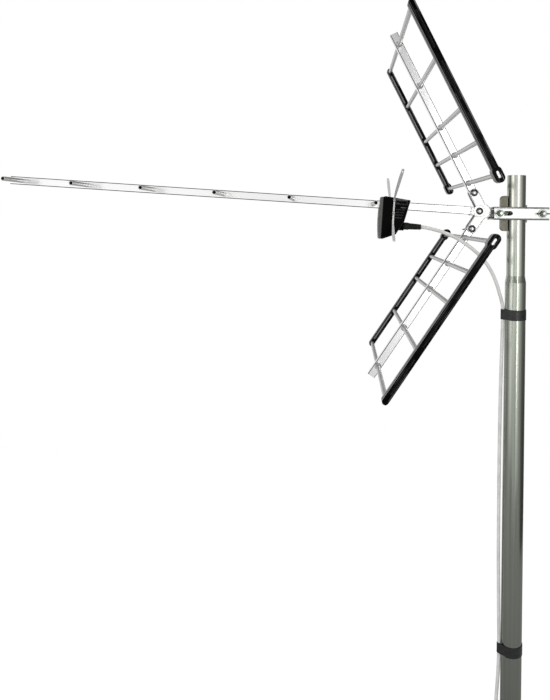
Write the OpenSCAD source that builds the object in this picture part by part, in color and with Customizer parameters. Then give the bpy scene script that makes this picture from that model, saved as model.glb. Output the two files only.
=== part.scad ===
// Outdoor UHF television antenna on its mast, in millimetres.
// The origin is the centre of the mast's foot, with +Z up the mast.
// The boom's tip points to -X, and the directors and reflector rods lie along Y.

/* [Mast] */
// Outside diameter of the mast below its shoulder
mast_d = 40; // [39:0.5:40.5]
// Outside diameter of the mast's swaged top
mast_top_d = 35.5; // [33:0.5:36]
// Wall thickness of the mast
mast_wall = 2; // [1.2:0.1:3]
// Length of the mast from foot to top
mast_len = 1100; // [1090:1:1300]
// Height of the shoulder's lower edge above the foot
shoulder_z = 894; // [880:1:900]
// Height of the shoulder's slope
shoulder_h = 13; // [8:1:20]

/* [Boom] */
// Height of the bracket's centre above the mast's foot
bracket_z = 1030; // [1028:0.5:1034]
// How far the boom's tip is tilted up, in degrees
boom_tilt = 3.1; // [2:0.1:4]
// Length of the boom from the bracket's centre to its tip
boom_len = 907; // [900:1:980]
// Side of the square boom
boom_side = 15; // [14:0.5:16]
// Wall of the boom and of the panel tubes
tube_wall = 1.5; // [1:0.1:2.5]
// Outside radius of the square tubes' corners
tube_corner_r = 1.6; // [0.8:0.1:2]

/* [Directors] */
// Outside diameter of the directors
director_d = 8; // [6:0.5:9]
// Wall of the directors
director_wall = 1; // [0.6:0.1:1.5]
// Distance from the tip of the boom to the first director
director_1_inset = 21; // [15:1:40]
// Distance from the bracket to the second director
director_2_at = 762; // [740:1:790]
// Distance from the bracket to the third director
director_3_at = 634.5; // [610:0.5:660]
// Distance from the bracket to the fourth director
director_4_at = 499.5; // [480:0.5:520]
// Distance from the bracket to the fifth director
director_5_at = 365; // [340:1:390]
// Distance from the bracket to the sixth director
director_6_at = 212; // [210:0.5:240]
// Length of the first director
director_1_len = 156; // [140:1:200]
// Length of the second director
director_2_len = 161; // [140:1:210]
// Length of the third director
director_3_len = 176; // [150:1:220]
// Length of the fourth director
director_4_len = 200; // [160:1:240]
// Length of the fifth director
director_5_len = 216; // [180:1:260]
// Length of the sixth director
director_6_len = 230; // [190:1:270]

/* [Reflector] */
// Angle between the boom and each reflector panel
panel_angle = 59.5; // [57:0.5:62]
// Side of the square panel tubes
panel_side = 15; // [14:0.5:16]
// Distance from the bracket to a panel tube's outer end
panel_len = 382; // [378:1:440]
// Outside diameter of the reflector rods
rod_d = 8; // [6:0.5:9]
// Wall of the reflector rods
rod_wall = 1; // [0.6:0.1:1.5]
// Width of a panel over its two rails
panel_w = 507; // [440:1:560]
// Distance from the bracket to the first rod
rod_1_at = 61; // [60:0.5:66]
// Distance from the bracket to the second rod
rod_2_at = 121; // [110:1:130]
// Distance from the bracket to the third rod
rod_3_at = 180.5; // [170:0.5:190]
// Distance from the bracket to the fourth rod
rod_4_at = 270; // [255:1:285]
// Distance from the bracket to the fifth rod
rod_5_at = 359; // [345:1:366]

/* [Rails] */
// Width of a rail across the panel's face
rail_w = 11; // [10.5:0.5:14]
// Depth of a rail along the rods
rail_depth = 17.5; // [14:0.5:24]
// Length of rail past the outer rod
rail_over = 8; // [6:0.5:12]
// Width of the cap at a rail's inner end
cap_w = 16; // [14:0.5:20]
// Length of the cap at a rail's inner end
cap_len = 27; // [24:0.5:34]
// Length of the flattened rod end that shows in the cap
flat_len = 12; // [9:0.5:13]
// Height of the flattened rod end
flat_h = 4.2; // [3:0.1:6]

/* [Bracket] */
// Thickness of the bracket's plates
plate_t = 3; // [2:0.2:4]
// Width of the bracket's arms
arm_w = 18; // [17.5:0.5:22]
// Distance from the centre to the arm bolts
arm_bolt_at = 40; // [36:0.5:42]
// Distance from the centre to the boom's bolt
boom_bolt_at = 8; // [7:0.5:10]
// Length of the tab over the boom
tab_len = 24.5; // [20:0.5:28]
// Radius of the raised disc round the boom's bolt
disc_r = 12.5; // [8:0.5:13]
// Height of the raised disc and rim
rim_h = 0.8; // [0.4:0.1:1.2]
// Diameter of the bracket's round tail
tail_d = 16.5; // [15:0.5:18]
// Distance from the centre to the tail's bolt
tail_bolt_at = 27.8; // [26:0.2:32]
// How far the tail's bolt lies under the boom's line
tail_bolt_drop = 2; // [0:0.5:2.5]
// Length of tail past its bolt
tail_over = 6.3; // [5.5:0.1:8]

/* [Clamp] */
// Height of the clamp channels
channel_h = 24.6; // [23:0.2:30]
// Thickness of the clamp channels
channel_t = 2.5; // [1.5:0.1:3]
// Outside radius of the channels' bends
channel_bend_r = 4; // [3.2:0.1:6]
// Depth of the channels' flanges
channel_depth = 14; // [12:0.5:14.5]
// Distance from the left bolt to the channels' left end
channel_over = 10.8; // [9:0.2:14]
// Distance from the mast's axis to the channels' right end
channel_right = 56; // [54:0.5:66]
// Distance from the mast's axis to the right clamp bolt
right_bolt_at = 43; // [40:0.5:45]
// Gap between the front channel's web and the mast
web_gap = 7.2; // [6:0.2:9]
// Height of the mast jaw
jaw_h = 68; // [50:1:80]
// Depth of the mast jaw from the mast's side
jaw_depth = 12.7; // [11:0.1:16]
// Width of the mast jaw
jaw_w = 15.5; // [12:0.5:16]
// Thickness of the mast jaw
jaw_t = 2.3; // [1.5:0.1:3]
// Height of the rear seat block
seat_h = 34; // [28:1:44]
// Width of the rear seat block
seat_w = 46; // [44:0.5:50]

/* [Fasteners] */
// Diameter of the bolts
bolt_d = 6; // [5:0.5:6]
// Diameter of the bolts' domed heads
head_d = 13.7; // [11:0.1:15]
// Height of the bolts' domed heads
head_h = 3.6; // [2.5:0.1:4.5]
// Span of the wing nuts over their wings
wing_span = 27; // [22:0.5:30]
// Height of the wing nuts' hubs
nut_h = 8; // [6:0.5:10]
// Thickness of the washers
washer_t = 1.4; // [1:0.1:2]

/* [Dipole] */
// Width of the dipole box along the rods
box_w = 50; // [46:1:60]
// Wall of the dipole box
box_wall = 2.4; // [1.8:0.1:3]
// Distance from the bracket to the box's lid
box_lid_at = 194; // [193:0.5:197]
// Thickness of the lid at its middle
lid_t = 6; // [4:0.5:8]
// Width of the dipole's strips
strip_w = 6; // [4:0.5:8]
// Thickness of the dipole's strips
strip_t = 1.6; // [1:0.1:2.4]
// Length of each dipole arm
strip_len = 121; // [90:1:150]
// Angle between the dipole's arms and the Y axis
strip_angle = 20.5; // [12:0.5:30]

/* [Cable] */
// Diameter of the coaxial cable
cable_d = 6.8; // [6:0.1:7]
// Length of the rubber boot on the cable
boot_len = 38; // [30:1:44]
// Diameter of the boot at the box
boot_base_d = 14; // [12:0.5:18]
// Diameter of the boot at its thin end
boot_end_d = 10.6; // [9:0.1:12]
// Width of the tape bands
tape_w = 21; // [15:1:30]
// Thickness of the wound tape
tape_t = 0.9; // [0.5:0.1:1.5]
// Height of the upper tape band's middle
tape_upper_z = 832; // [820:1:840]
// Height of the lower tape band's middle
tape_lower_z = 190; // [180:1:215]
// Diameter of the plug's body at the cable's end
plug_d = 9.6; // [8:0.2:11]
// Length of the plug's body
plug_len = 22; // [16:1:28]

/* [Hidden] */
$fn = 48;

// Clearances and allowances
fit = 0.15;          // between a rod or bolt and its hole, on the radius
slip = 0.2;          // between a cover or jaw and what it rests on
over = 1;            // how far a cut runs past what it cuts
aluminium = [0.84, 0.85, 0.86];
zinc = [0.72, 0.74, 0.72];
black = [0.06, 0.06, 0.06];

// Places that follow from the sizes above
mast_top_r = mast_top_d / 2;
jaw_x = -(mast_top_r + slip + jaw_depth);
left_bolt_x = jaw_x - slip - tail_over - tail_d / 2 * sin(boom_tilt);
bracket_x = left_bolt_x - tail_bolt_at * cos(boom_tilt) + tail_bolt_drop * sin(boom_tilt);
clamp_z = bracket_z - tail_bolt_at * sin(boom_tilt) - tail_bolt_drop * cos(boom_tilt);
front_web_y = -(mast_top_r + web_gap);
seat_apex_y = (mast_top_r + slip) * sqrt(2);
rear_web_y = seat_apex_y + web_gap;
director_1_at = boom_len - director_1_inset;
DIRECTORS = [[director_1_at, director_1_len], [director_2_at, director_2_len],
             [director_3_at, director_3_len], [director_4_at, director_4_len],
             [director_5_at, director_5_len], [director_6_at, director_6_len]];
RODS = [rod_1_at, rod_2_at, rod_3_at, rod_4_at, rod_5_at];
tube_start = 24;                      // where a panel tube starts under the bracket
plate_y = max(boom_side, panel_side) / 2 + slip;
rail_inner_y = panel_w / 2 - rail_depth;
rod_sink = min(9, rail_depth - 4);    // how far a rod reaches into a rail
rail_start = rod_1_at - cap_len / 2;
bolt_hole_r = bolt_d / 2 + fit;

// Outline of the dipole box seen from the side, from the bracket and up
box_top = 16.3;
box_back_top = 11.4;
box_front_top = 13.6;
box_right = 142;
box_waist = [151.3, -28.5];
box_chin = [166.1, -54.7];
box_foot = -65;
strip_at = 173;                       // distance from the bracket to the dipole
strip_mid = -2.5;                     // height of the dipole's middle
foot_len = 43;                        // length of strip that lies on the box
boot_w = -38;                         // height of the boot under the boom's line
boot_at = 155;                        // distance from the bracket to the boot's base
boot_tip = boot_at - boot_len;
ridge_count = 4;
ridge_pitch = 5.2;
tooth_pitch = 2.2;
tooth_count = 11;

// The cable's route, chosen by hand: from inside the boot, in front of the
// lower panel's tube, to the left side of the mast and down it
CABLE = [[-196, 0, 999], [-184, 0, 998.4], [-170, -2, 996.5], [-150, -6, 991.5],
         [-130, -11, 984.5], [-109, -13, 974], [-91, -12.5, 961.5], [-75, -10, 948.5],
         [-58, -6.5, 930], [-46, -4, 911.5], [-36.5, -2, 890], [-31, -1, 873],
         [-27, 0, 860], [-24.4, 0, 849], [-23.8, 0, 838], [-23.8, 0, 820],
         [-24.4, 0, 785], [-25.8, 0, 720], [-26.8, 0, 640], [-27.2, 0, 550], [-27.2, 0, 460],
         [-26.6, 0, 370], [-25.4, 0, 290], [-24.2, 0, 225], [-23.8, 0, 200],
         [-23.8, 0, 180], [-24.4, 0, 150], [-26, 0, 120], [-27.6, 0, 95],
         [-28, 0, 80]];
cable_sides = 10;
ring_gap = 17;                        // largest distance between two rings
cable_end = CABLE[len(CABLE) - 1];
cable_at_tape = 23.8;                 // distance of the taped cable from the mast's axis

// Local frame of the boom: +X towards its tip, +Z up, origin at the bracket
module boom_frame() {
    translate([bracket_x, 0, bracket_z]) rotate([0, boom_tilt, 0]) mirror([1, 0, 0])
        children();
}

// Local frame of a panel: +X out along its tube; side is 1 above and -1 below
module panel_frame(side) {
    boom_frame() rotate([0, -side * panel_angle, 0]) children();
}

// Cylinder along +Y that starts at y0
module along_y(r, length, y0 = 0) {
    translate([0, y0, 0]) rotate([-90, 0, 0]) cylinder(r = r, h = length);
}

// Tube along Y, centred on the boom or the panel
module cross_tube(d, wall, length) {
    difference() {
        along_y(d / 2, length, -length / 2);
        along_y(d / 2 - wall, length + 2 * over, -length / 2 - over);
    }
}

// Square with round corners, built from squares and circles
module round_square(width, height, r) {
    square([width - 2 * r, height], center = true);
    square([width, height - 2 * r], center = true);
    for (x = [-1, 1], y = [-1, 1])
        translate([x * (width / 2 - r), y * (height / 2 - r)]) circle(r);
}

// Bar with round ends from x = a to x = b
module slot_shape(a, b, height) {
    translate([a + height / 2, -height / 2]) square([b - a - height, height]);
    for (x = [a + height / 2, b - height / 2]) translate([x, 0]) circle(height / 2);
}

// Square tube along +X from x = a to x = b
module square_tube(side, a, b) {
    translate([a, 0, 0]) rotate([90, 0, 90]) difference() {
        linear_extrude(b - a) round_square(side, side, tube_corner_r);
        translate([0, 0, -over]) linear_extrude(b - a + 2 * over)
            square(side - 2 * tube_wall, center = true);
    }
}

module mast() {
    low_r = mast_d / 2;
    color(zinc) rotate_extrude($fn = 96) polygon([
        [low_r - mast_wall, 0], [low_r, 0], [low_r, shoulder_z],
        [mast_top_r, shoulder_z + shoulder_h], [mast_top_r, mast_len],
        [mast_top_r - mast_wall, mast_len],
        [mast_top_r - mast_wall, shoulder_z + shoulder_h],
        [low_r - mast_wall, shoulder_z]]);
}

// Outline round the mast and the cable beside it, grown by a margin
module taped_outline(margin) {
    big = mast_d / 2 + margin;
    small = cable_d / 2 + margin;
    nx = -(big - small) / cable_at_tape;
    ny = sqrt(1 - nx * nx);
    circle(big, $fn = 96);
    translate([-cable_at_tape, 0]) circle(small);
    polygon([[big * nx, big * ny], [-cable_at_tape + small * nx, small * ny],
             [-cable_at_tape + small * nx, -small * ny], [big * nx, -big * ny]]);
}

module tape(z) {
    color(black) translate([0, 0, z - tape_w / 2]) difference() {
        linear_extrude(tape_w) taped_outline(slip + tape_t);
        translate([0, 0, -over]) linear_extrude(tape_w + 2 * over) taped_outline(slip);
    }
}

module boom() {
    color(aluminium) boom_frame() difference() {
        square_tube(boom_side, 0, boom_len);
        for (d = DIRECTORS) translate([d[0], 0, 0])
            along_y(director_d / 2 + fit, boom_side + 2 * over, -boom_side / 2 - over);
        translate([boom_bolt_at, 0, 0])
            along_y(bolt_hole_r, boom_side + 2 * over, -boom_side / 2 - over);
    }
}

module director(n) {
    color(aluminium) boom_frame() translate([DIRECTORS[n - 1][0], 0, 0])
        cross_tube(director_d, director_wall, DIRECTORS[n - 1][1]);
}

// Side outline of the dipole box, in the boom's X and Z
module box_outline() {
    polygon([[box_lid_at, box_foot], [box_lid_at, box_front_top + 1],
             [box_lid_at - 4, box_top], [box_right, box_back_top], box_waist, box_chin,
             [box_lid_at - 3, box_foot]]);
}

// Turns an outline in X and Z into a slab centred on Y
module slab(width) {
    translate([0, width / 2, 0]) rotate([90, 0, 0]) linear_extrude(width) children();
}

module dipole_box() {
    bore = boom_side + 2 * slip;
    sleeve = bore + 2 * box_wall;
    color(black) boom_frame() difference() {
        union() {
            difference() {
                slab(box_w) offset(r = 1.6, $fn = 24) offset(delta = -1.6) box_outline();
                slab(box_w - 2 * box_wall) offset(delta = -box_wall) box_outline();
                translate([box_lid_at - box_wall - over, -box_w / 2 + box_wall,
                           box_foot + box_wall])
                    cube([box_wall + 2 * over, box_w - 2 * box_wall,
                          box_front_top - box_foot - 2 * box_wall]);
            }
            intersection() {
                translate([box_right, -sleeve / 2, -sleeve / 2])
                    cube([box_lid_at - box_right, sleeve, sleeve]);
                slab(box_w) box_outline();
            }
            translate([boot_at - 5, 0, boot_w]) rotate([0, 90, 0])
                cylinder(d = boot_base_d + 4, h = 12);
            box_ridges();
        }
        translate([box_right - over, -bore / 2, -bore / 2])
            cube([box_lid_at - box_right + 2 * over, bore, bore]);
        translate([boot_at - 6, 0, boot_w]) rotate([0, 90, 0])
            cylinder(r = socket_r + fit, h = 30);
        for (s = [-1, 1]) screw_holes(s);
    }
}
socket_r = 4.8;                       // radius of the coaxial socket's barrel
screw_r = 1.6;                        // radius of the dipole's screws
screw_reach = 12;                     // distance of a screw from the dipole's middle

module screw_holes(side) {
    for (z = [-1, 1]) translate([strip_at, 0, strip_mid + z * screw_reach])
        along_y(screw_r + fit, box_wall + 2 * over,
                side > 0 ? box_w / 2 - box_wall - over : -box_w / 2 - over);
}

// Grip ridges and the raised clip frame on both sides of the box
module box_ridges() {
    ridge_t = 1.4;
    ridge_h = 0.9;
    clip_h = 8;
    for (y = [-box_w / 2 - ridge_h, box_w / 2 - ridge_t / 2]) {
        for (i = [0 : ridge_count - 1])
            translate([152 + i * 1.5, y, -7 - i * ridge_pitch - ridge_t])
                cube([16 - i, ridge_h + ridge_t / 2, ridge_t]);
        translate([148, y, 2]) difference() {
            cube([22, ridge_h + ridge_t / 2, clip_h]);
            translate([ridge_t, -over, ridge_t])
                cube([22 - 2 * ridge_t, ridge_h + ridge_t / 2 + 2 * over,
                      clip_h - 2 * ridge_t]);
        }
    }
}

module dipole_lid() {
    bore = boom_side + 2 * slip;
    face = box_lid_at + slip;
    color([0.16, 0.16, 0.16]) boom_frame() difference() {
        slab(box_w) intersection() {
            translate([face, box_foot]) square([lid_t, box_front_top + 1 - box_foot]);
            translate([face + lid_t - 300, (box_top + box_foot) / 2])
                circle(300, $fn = 192);
        }
        slab(box_w - 2 * box_wall) difference() {
            translate([face - over, box_foot + box_wall])
                square([over + 1.5, box_front_top + 1 - box_foot - 2 * box_wall]);
            translate([face - 2 * over, -bore / 2 - box_wall])
                square([lid_t, bore + 2 * box_wall]);
        }
        translate([face - over, -bore / 2, -bore / 2])
            cube([lid_t + 2 * over, bore, bore]);
    }
}

module balun_board() {
    board_t = 1.6;
    board_h = 26;
    color([0.1, 0.35, 0.2]) boom_frame()
        translate([box_lid_at - 8, -box_w / 2 + box_wall + slip,
                   boot_w - board_h / 2 - 4])
            cube([board_t, box_w - 2 * box_wall - 2 * slip, board_h]);
}

module coax_socket() {
    barrel_end = box_lid_at - 8 - slip;
    color([0.75, 0.7, 0.5]) boom_frame() translate([boot_at - 5, 0, boot_w])
        rotate([0, 90, 0]) difference() {
            union() {
                cylinder(r = socket_r, h = barrel_end - boot_at + 5);
                translate([0, 0, 18]) cylinder(r = socket_r + 1.6, h = 4);
            }
            translate([0, 0, -over]) cylinder(r = 3, h = 12);
        }
}

// Outline of a dipole half in Y and Z: a strip bent outwards at both ends of its foot
module strip_outline() {
    tip = [cos(strip_angle), sin(strip_angle)] * strip_len;
    inner = tip + [sin(strip_angle), -cos(strip_angle)] * strip_t;
    end = foot_len / 2;
    elbow = end - strip_t * tan((90 - strip_angle) / 2);
    polygon([[0, end], [tip[0], end + tip[1]], [inner[0], end + inner[1]],
             [strip_t, elbow], [strip_t, -elbow], [inner[0], -end - inner[1]],
             [tip[0], -end - tip[1]], [0, -end]]);
}

// What is cut from an arm of the dipole: the corners of its tip and a slot near it
module strip_cut() {
    hole_len = 8;
    hole_w = strip_w - 3.2;
    r = strip_w / 2 + 0.4;           // a little over half, so that the arc meets the sides
    translate([0, 0, -2 * strip_t]) linear_extrude(4 * strip_t) rotate(90) {
        slot_shape(strip_len - 2.5 - hole_len, strip_len - 2.5, hole_w);
        difference() {
            translate([strip_len - r, -strip_w]) square([r + over, 2 * strip_w]);
            translate([strip_len - r, 0]) circle(r);
        }
    }
}

// One half of the dipole: a flat strip, held on the box by two screws
module dipole_half(side) {
    color(aluminium) boom_frame()
        translate([strip_at, side * (box_w / 2 + slip), strip_mid])
            mirror([0, side > 0 ? 0 : 1, 0]) difference() {
                translate([-strip_w / 2, 0, 0]) rotate([90, 0, 90])
                    linear_extrude(strip_w) strip_outline();
                for (up = [-1, 1]) mirror([0, 0, up > 0 ? 0 : 1])
                    translate([0, 0, foot_len / 2]) rotate([strip_angle, 0, 0]) strip_cut();
                for (z = [-1, 1]) translate([0, 0, z * screw_reach])
                    along_y(screw_r + fit, strip_t + 2 * over, -over);
            }
}

module dipole_screws() {
    head_t = 1.6;
    color(zinc) boom_frame() for (s = [-1, 1], z = [-1, 1])
        translate([strip_at, s * (box_w / 2 + slip + strip_t + 0.05),
                   strip_mid + z * screw_reach]) mirror([0, s > 0 ? 0 : 1, 0]) {
            along_y(2.7, head_t);
            along_y(screw_r, 6, -6);
        }
}

module cable_boot() {
    grip_len = 9;
    color([0.13, 0.15, 0.13]) boom_frame() translate([boot_at - 5 - slip, 0, boot_w])
        rotate([0, -90, 0]) difference() {
            union() {
                cylinder(d = boot_base_d, h = grip_len);
                translate([0, 0, grip_len])
                    cylinder(d1 = boot_base_d - 0.4, d2 = boot_end_d, h = boot_len - grip_len - 5);
            }
            translate([0, 0, -over])
                cylinder(d = cable_d + 4 * slip, h = boot_len + 2 * over);
        }
}

// Points between the route's own points, on a smooth curve through them
function bend(a, b, c, d, t) = 0.5 * (2 * b + (c - a) * t
    + (2 * a - 5 * b + 4 * c - d) * t * t + (3 * b - a - 3 * c + d) * t * t * t);
function at(i) = CABLE[max(0, min(len(CABLE) - 1, i))];
function steps(i) = max(1, ceil(norm(at(i + 1) - at(i)) / ring_gap));
ROUTE = concat([for (i = [0 : len(CABLE) - 2], k = [0 : steps(i) - 1])
                    bend(at(i - 1), at(i), at(i + 1), at(i + 2), k / steps(i))],
               [cable_end]);
function unit(v) = v / norm(v);
function heading(i) = unit(ROUTE[min(i + 1, len(ROUTE) - 1)] - ROUTE[max(i - 1, 0)]);
function ring(i) = let (t = heading(i), u = unit(cross(t, [0, 1, 0])), v = cross(t, u))
    [for (k = [0 : cable_sides - 1]) ROUTE[i] + cable_d / 2
        * (cos(k * 360 / cable_sides) * u + sin(k * 360 / cable_sides) * v)];

module coax_cable() {
    last = len(ROUTE) - 1;
    points = [for (i = [0 : last]) each ring(i)];
    sides = [for (i = [0 : last - 1], k = [0 : cable_sides - 1])
        let (n = (k + 1) % cable_sides, a = i * cable_sides, b = a + cable_sides)
            [a + k, b + k, b + n, a + n]];
    start = [[for (k = [0 : cable_sides - 1]) k]];
    end = [[for (k = [cable_sides - 1 : -1 : 0]) last * cable_sides + k]];
    color([0.86, 0.86, 0.84]) polyhedron(points, concat(sides, start, end), convexity = 6);
}

module coax_plug() {
    nut_len = 8;
    color([0.78, 0.78, 0.76]) translate(cable_end - [0, 0, slip]) mirror([0, 0, 1]) {
        cylinder(d = plug_d - 1.4, h = plug_len - nut_len);
        translate([0, 0, plug_len - nut_len]) cylinder(d = plug_d + 1.6, h = nut_len, $fn = 6);
        translate([0, 0, plug_len]) cylinder(r = 0.5, h = 4);
    }
}

// Outline of a bracket plate; inset draws the same outline further in
module bracket_outline(inset) {
    arm = arm_w - 2 * inset;
    translate([0, -arm / 2]) square([tab_len - inset, arm - 2]);
    translate([-3 + inset, -arm / 2]) square([tab_len - 6, arm]);
    for (s = [-1, 1]) rotate(s * panel_angle)
        slot_shape(-arm / 2, arm_bolt_at + arm_w / 2 - inset, arm);
    circle(disc_r + 1.5 - inset);
}

// Bracket half in front (side -1) or behind (side 1)
module bracket_half(side) {
    face = side * plate_y;
    color(aluminium) boom_frame() mirror([0, side > 0 ? 0 : 1, 0]) difference() {
        union() {
            translate([0, plate_y, 0]) difference() {
                plate_slab(plate_t + rim_h) bracket_outline(0);
                translate([0, plate_t, 0]) plate_slab(rim_h + over) bracket_outline(1.2);
            }
            translate([boom_bolt_at, plate_y + plate_t, 0]) along_y(disc_r - 1.4, rim_h);
            bracket_tail();
            bracket_teeth();
        }
        bracket_holes();
    }
}

// Slab from an outline in X and Z, from y = 0 outwards
module plate_slab(height) {
    rotate([90, 0, 0]) mirror([0, 0, 1]) linear_extrude(height) children();
}

// Half-round tail that the clamp's bolt goes through, with the block that carries it
module bracket_tail() {
    tail_end = -(tail_bolt_at + tail_over);
    intersection() {
        translate([tail_end, 0, 0]) rotate([0, 90, 0]) cylinder(d = tail_d, h = -tail_end - slip);
        translate([tail_end - over, fit, -tail_d])
            cube([-tail_end + 2 * over, tail_d, 2 * tail_d]);
    }
    translate([-9, fit, -tail_d / 2 + 1]) cube([9 - slip, plate_y + plate_t - fit, tail_d - 2]);
}

// Fine teeth along the tail-side edges of the two arms
module bracket_teeth() {
    tooth = 1.1;
    for (s = [-1, 1], i = [0 : tooth_count - 1]) rotate([0, -s * panel_angle, 0])
        translate([9 + i * tooth_pitch, plate_y + 0.4, s * (arm_w / 2 - 0.3) - tooth / 2])
            cube([tooth, plate_t - 0.4, 1.2]);
}

module bracket_holes() {
    depth = plate_y + plate_t + rim_h + 2 * over;
    translate([boom_bolt_at, 0, 0]) along_y(bolt_hole_r, depth, -over);
    for (s = [-1, 1]) rotate([0, -s * panel_angle, 0]) translate([arm_bolt_at, 0, 0])
        along_y(bolt_hole_r, depth, -over);
    translate([-tail_bolt_at, 0, -tail_bolt_drop]) along_y(bolt_hole_r, tail_d, -over);
}

// Round-headed bolt along Y: its head stands on y = 0 and its shank runs to y = length
module bolt(length) {
    ball_r = (pow(head_d / 2, 2) + pow(head_h - 0.8, 2)) / (2 * (head_h - 0.8));
    rotate([90, 0, 0]) rotate_extrude() intersection() {
        square([head_d / 2, head_h]);
        union() {
            square([head_d / 2, 0.8]);
            translate([0, head_h - ball_r]) circle(ball_r, $fn = 96);
        }
    }
    along_y(bolt_d / 2, length);
}

// Wing nut on y = 0 that tightens towards +Y, with its wings along X
module wing_nut() {
    wing_r = wing_span / 2;
    wing_t = 2.6;
    difference() {
        union() {
            rotate([90, 0, 0]) cylinder(d1 = 12.5, d2 = 9.5, h = nut_h);
            for (s = [-1, 1]) mirror([s > 0 ? 0 : 1, 0, 0])
                translate([0, 0, -wing_t / 2]) linear_extrude(wing_t) polygon([
                    [3.6, -1], [wing_r - 4, -nut_h * 0.7], [wing_r - 1, -nut_h - 2],
                    [wing_r - 1, -nut_h - 5], [wing_r - 3.5, -nut_h - 6],
                    [wing_r - 6.5, -nut_h - 5], [3.6, -nut_h + 0.5]]);
        }
        along_y(bolt_d / 2 + fit / 2, nut_h + 8, -nut_h - 7);
    }
}

module bracket_bolts() {
    stand = plate_y + plate_t + rim_h + fit;
    length = 2 * stand + nut_h + 2;
    color(zinc) boom_frame() {
        translate([boom_bolt_at, -stand, 0]) bolt(length);
        for (s = [-1, 1]) rotate([0, -s * panel_angle, 0])
            translate([arm_bolt_at, -stand, 0]) bolt(length);
    }
}

module bracket_wing_nuts() {
    stand = plate_y + plate_t + rim_h + fit;
    color(zinc) boom_frame() {
        translate([boom_bolt_at, stand, 0]) rotate([0, 0, 180]) rotate([0, 15, 0]) wing_nut();
        for (s = [-1, 1]) rotate([0, -s * panel_angle, 0])
            translate([arm_bolt_at, stand, 0]) rotate([0, 0, 180])
                rotate([0, s * (90 - panel_angle) + 90, 0]) wing_nut();
    }
}

module panel_tube(side) {
    color(aluminium) panel_frame(side) difference() {
        square_tube(panel_side, tube_start, panel_len);
        for (x = RODS) translate([x, 0, 0])
            along_y(rod_d / 2 + fit, panel_side + 2 * over, -panel_side / 2 - over);
        translate([arm_bolt_at, 0, 0])
            along_y(bolt_hole_r, panel_side + 2 * over, -panel_side / 2 - over);
    }
}

// Reflector rod; the first one has flattened ends that reach the rails' outer faces
module rod(side, n) {
    reach = rail_inner_y + rod_sink;
    color(aluminium) panel_frame(side) translate([RODS[n - 1], 0, 0]) {
        cross_tube(rod_d, rod_wall, 2 * reach);
        if (n == 1) for (s = [-1, 1]) mirror([0, s > 0 ? 0 : 1, 0])
            translate([0, reach + rail_depth - rod_sink - 0.6, 0]) rotate([90, 0, 0])
                linear_extrude(rail_depth - rod_sink - 0.6)
                    slot_shape(-flat_len / 2, flat_len / 2, flat_h);
    }
}

// Rail along the rods' ends: near is -1 and far is 1
module rail(side, end) {
    rail_end = rod_5_at + rail_over;
    color(black) panel_frame(side) mirror([0, end > 0 ? 0 : 1, 0])
        translate([0, rail_inner_y, 0]) difference() {
            union() {
                plate_slab(rail_depth) slot_shape(rail_start, rail_end, rail_w);
                plate_slab(rail_depth) slot_shape(rail_start, rail_start + cap_len, cap_w);
                translate([0, rail_depth * 0.35, 0]) plate_slab(rail_depth * 0.3)
                    slot_shape(rail_start + 2, rail_end - 1, rail_w + 1.2);
            }
            for (x = RODS) translate([x, 0, 0])
                along_y(rod_d / 2 + fit, rod_sink + 2 * fit + over, -over);
            translate([rod_1_at, 0, 0]) plate_slab(rail_depth + over)
                slot_shape(-flat_len / 2 - fit, flat_len / 2 + fit, flat_h + 2 * fit);
            for (i = [0 : 3]) translate([(RODS[i] + RODS[i + 1]) / 2, rail_depth, 0])
                rail_groove(RODS[i + 1] - RODS[i] - 24);
        }
}

// Shallow groove in the middle of a rail's outer face
module rail_groove(length) {
    translate([-length / 2, -0.5, -1]) cube([length, over, 2]);
}

// Profile of a clamp channel in Y and Z: its web at y = 0 and its flanges towards +Y
module channel_profile() {
    r = channel_bend_r;
    difference() {
        union() {
            translate([r, -channel_h / 2]) square([channel_depth + channel_t - r, channel_h]);
            translate([0, -channel_h / 2 + r]) square([r, channel_h - 2 * r]);
            for (s = [-1, 1]) translate([r, s * (channel_h / 2 - r)]) circle(r);
        }
        translate([channel_t, -channel_h / 2 + channel_t])
            square([channel_depth + over, channel_h - 2 * channel_t]);
    }
}

module channel(left, right) {
    translate([left, 0, 0]) rotate([90, 0, 90]) linear_extrude(right - left)
        channel_profile();
}

// Cut that leaves a slot for the left bolt and an open notch for the right bolt
module channel_cuts() {
    slot_h = bolt_d + 2.4;
    mouth = 7.6;
    rotate([90, 0, 0]) translate([0, 0, -channel_t - over]) linear_extrude(channel_t + 2 * over) {
        slot_shape(left_bolt_x - slot_h / 2, -mast_top_r + 4.2, slot_h);
        polygon([[right_bolt_at - 12, 0], [right_bolt_at, mouth],
                 [channel_right + over, mouth], [channel_right + over, -mouth],
                 [right_bolt_at, -mouth]]);
    }
}

module clamp_front() {
    color(aluminium) difference() {
        translate([0, front_web_y - channel_t, clamp_z]) difference() {
            channel(left_bolt_x - channel_over, channel_right);
            channel_cuts();
        }
        translate([0, 0, clamp_z - channel_h])
            cylinder(r = mast_top_r + slip, h = 2 * channel_h, $fn = 96);
    }
}

module clamp_rear() {
    color(aluminium) translate([0, rear_web_y + channel_t, clamp_z]) difference() {
        mirror([0, 1, 0]) channel(left_bolt_x - channel_over, channel_right);
        for (x = [left_bolt_x, right_bolt_at]) translate([x, 0, 0])
            along_y(bolt_hole_r, channel_t + 2 * over, -channel_t - over);
    }
}

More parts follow.
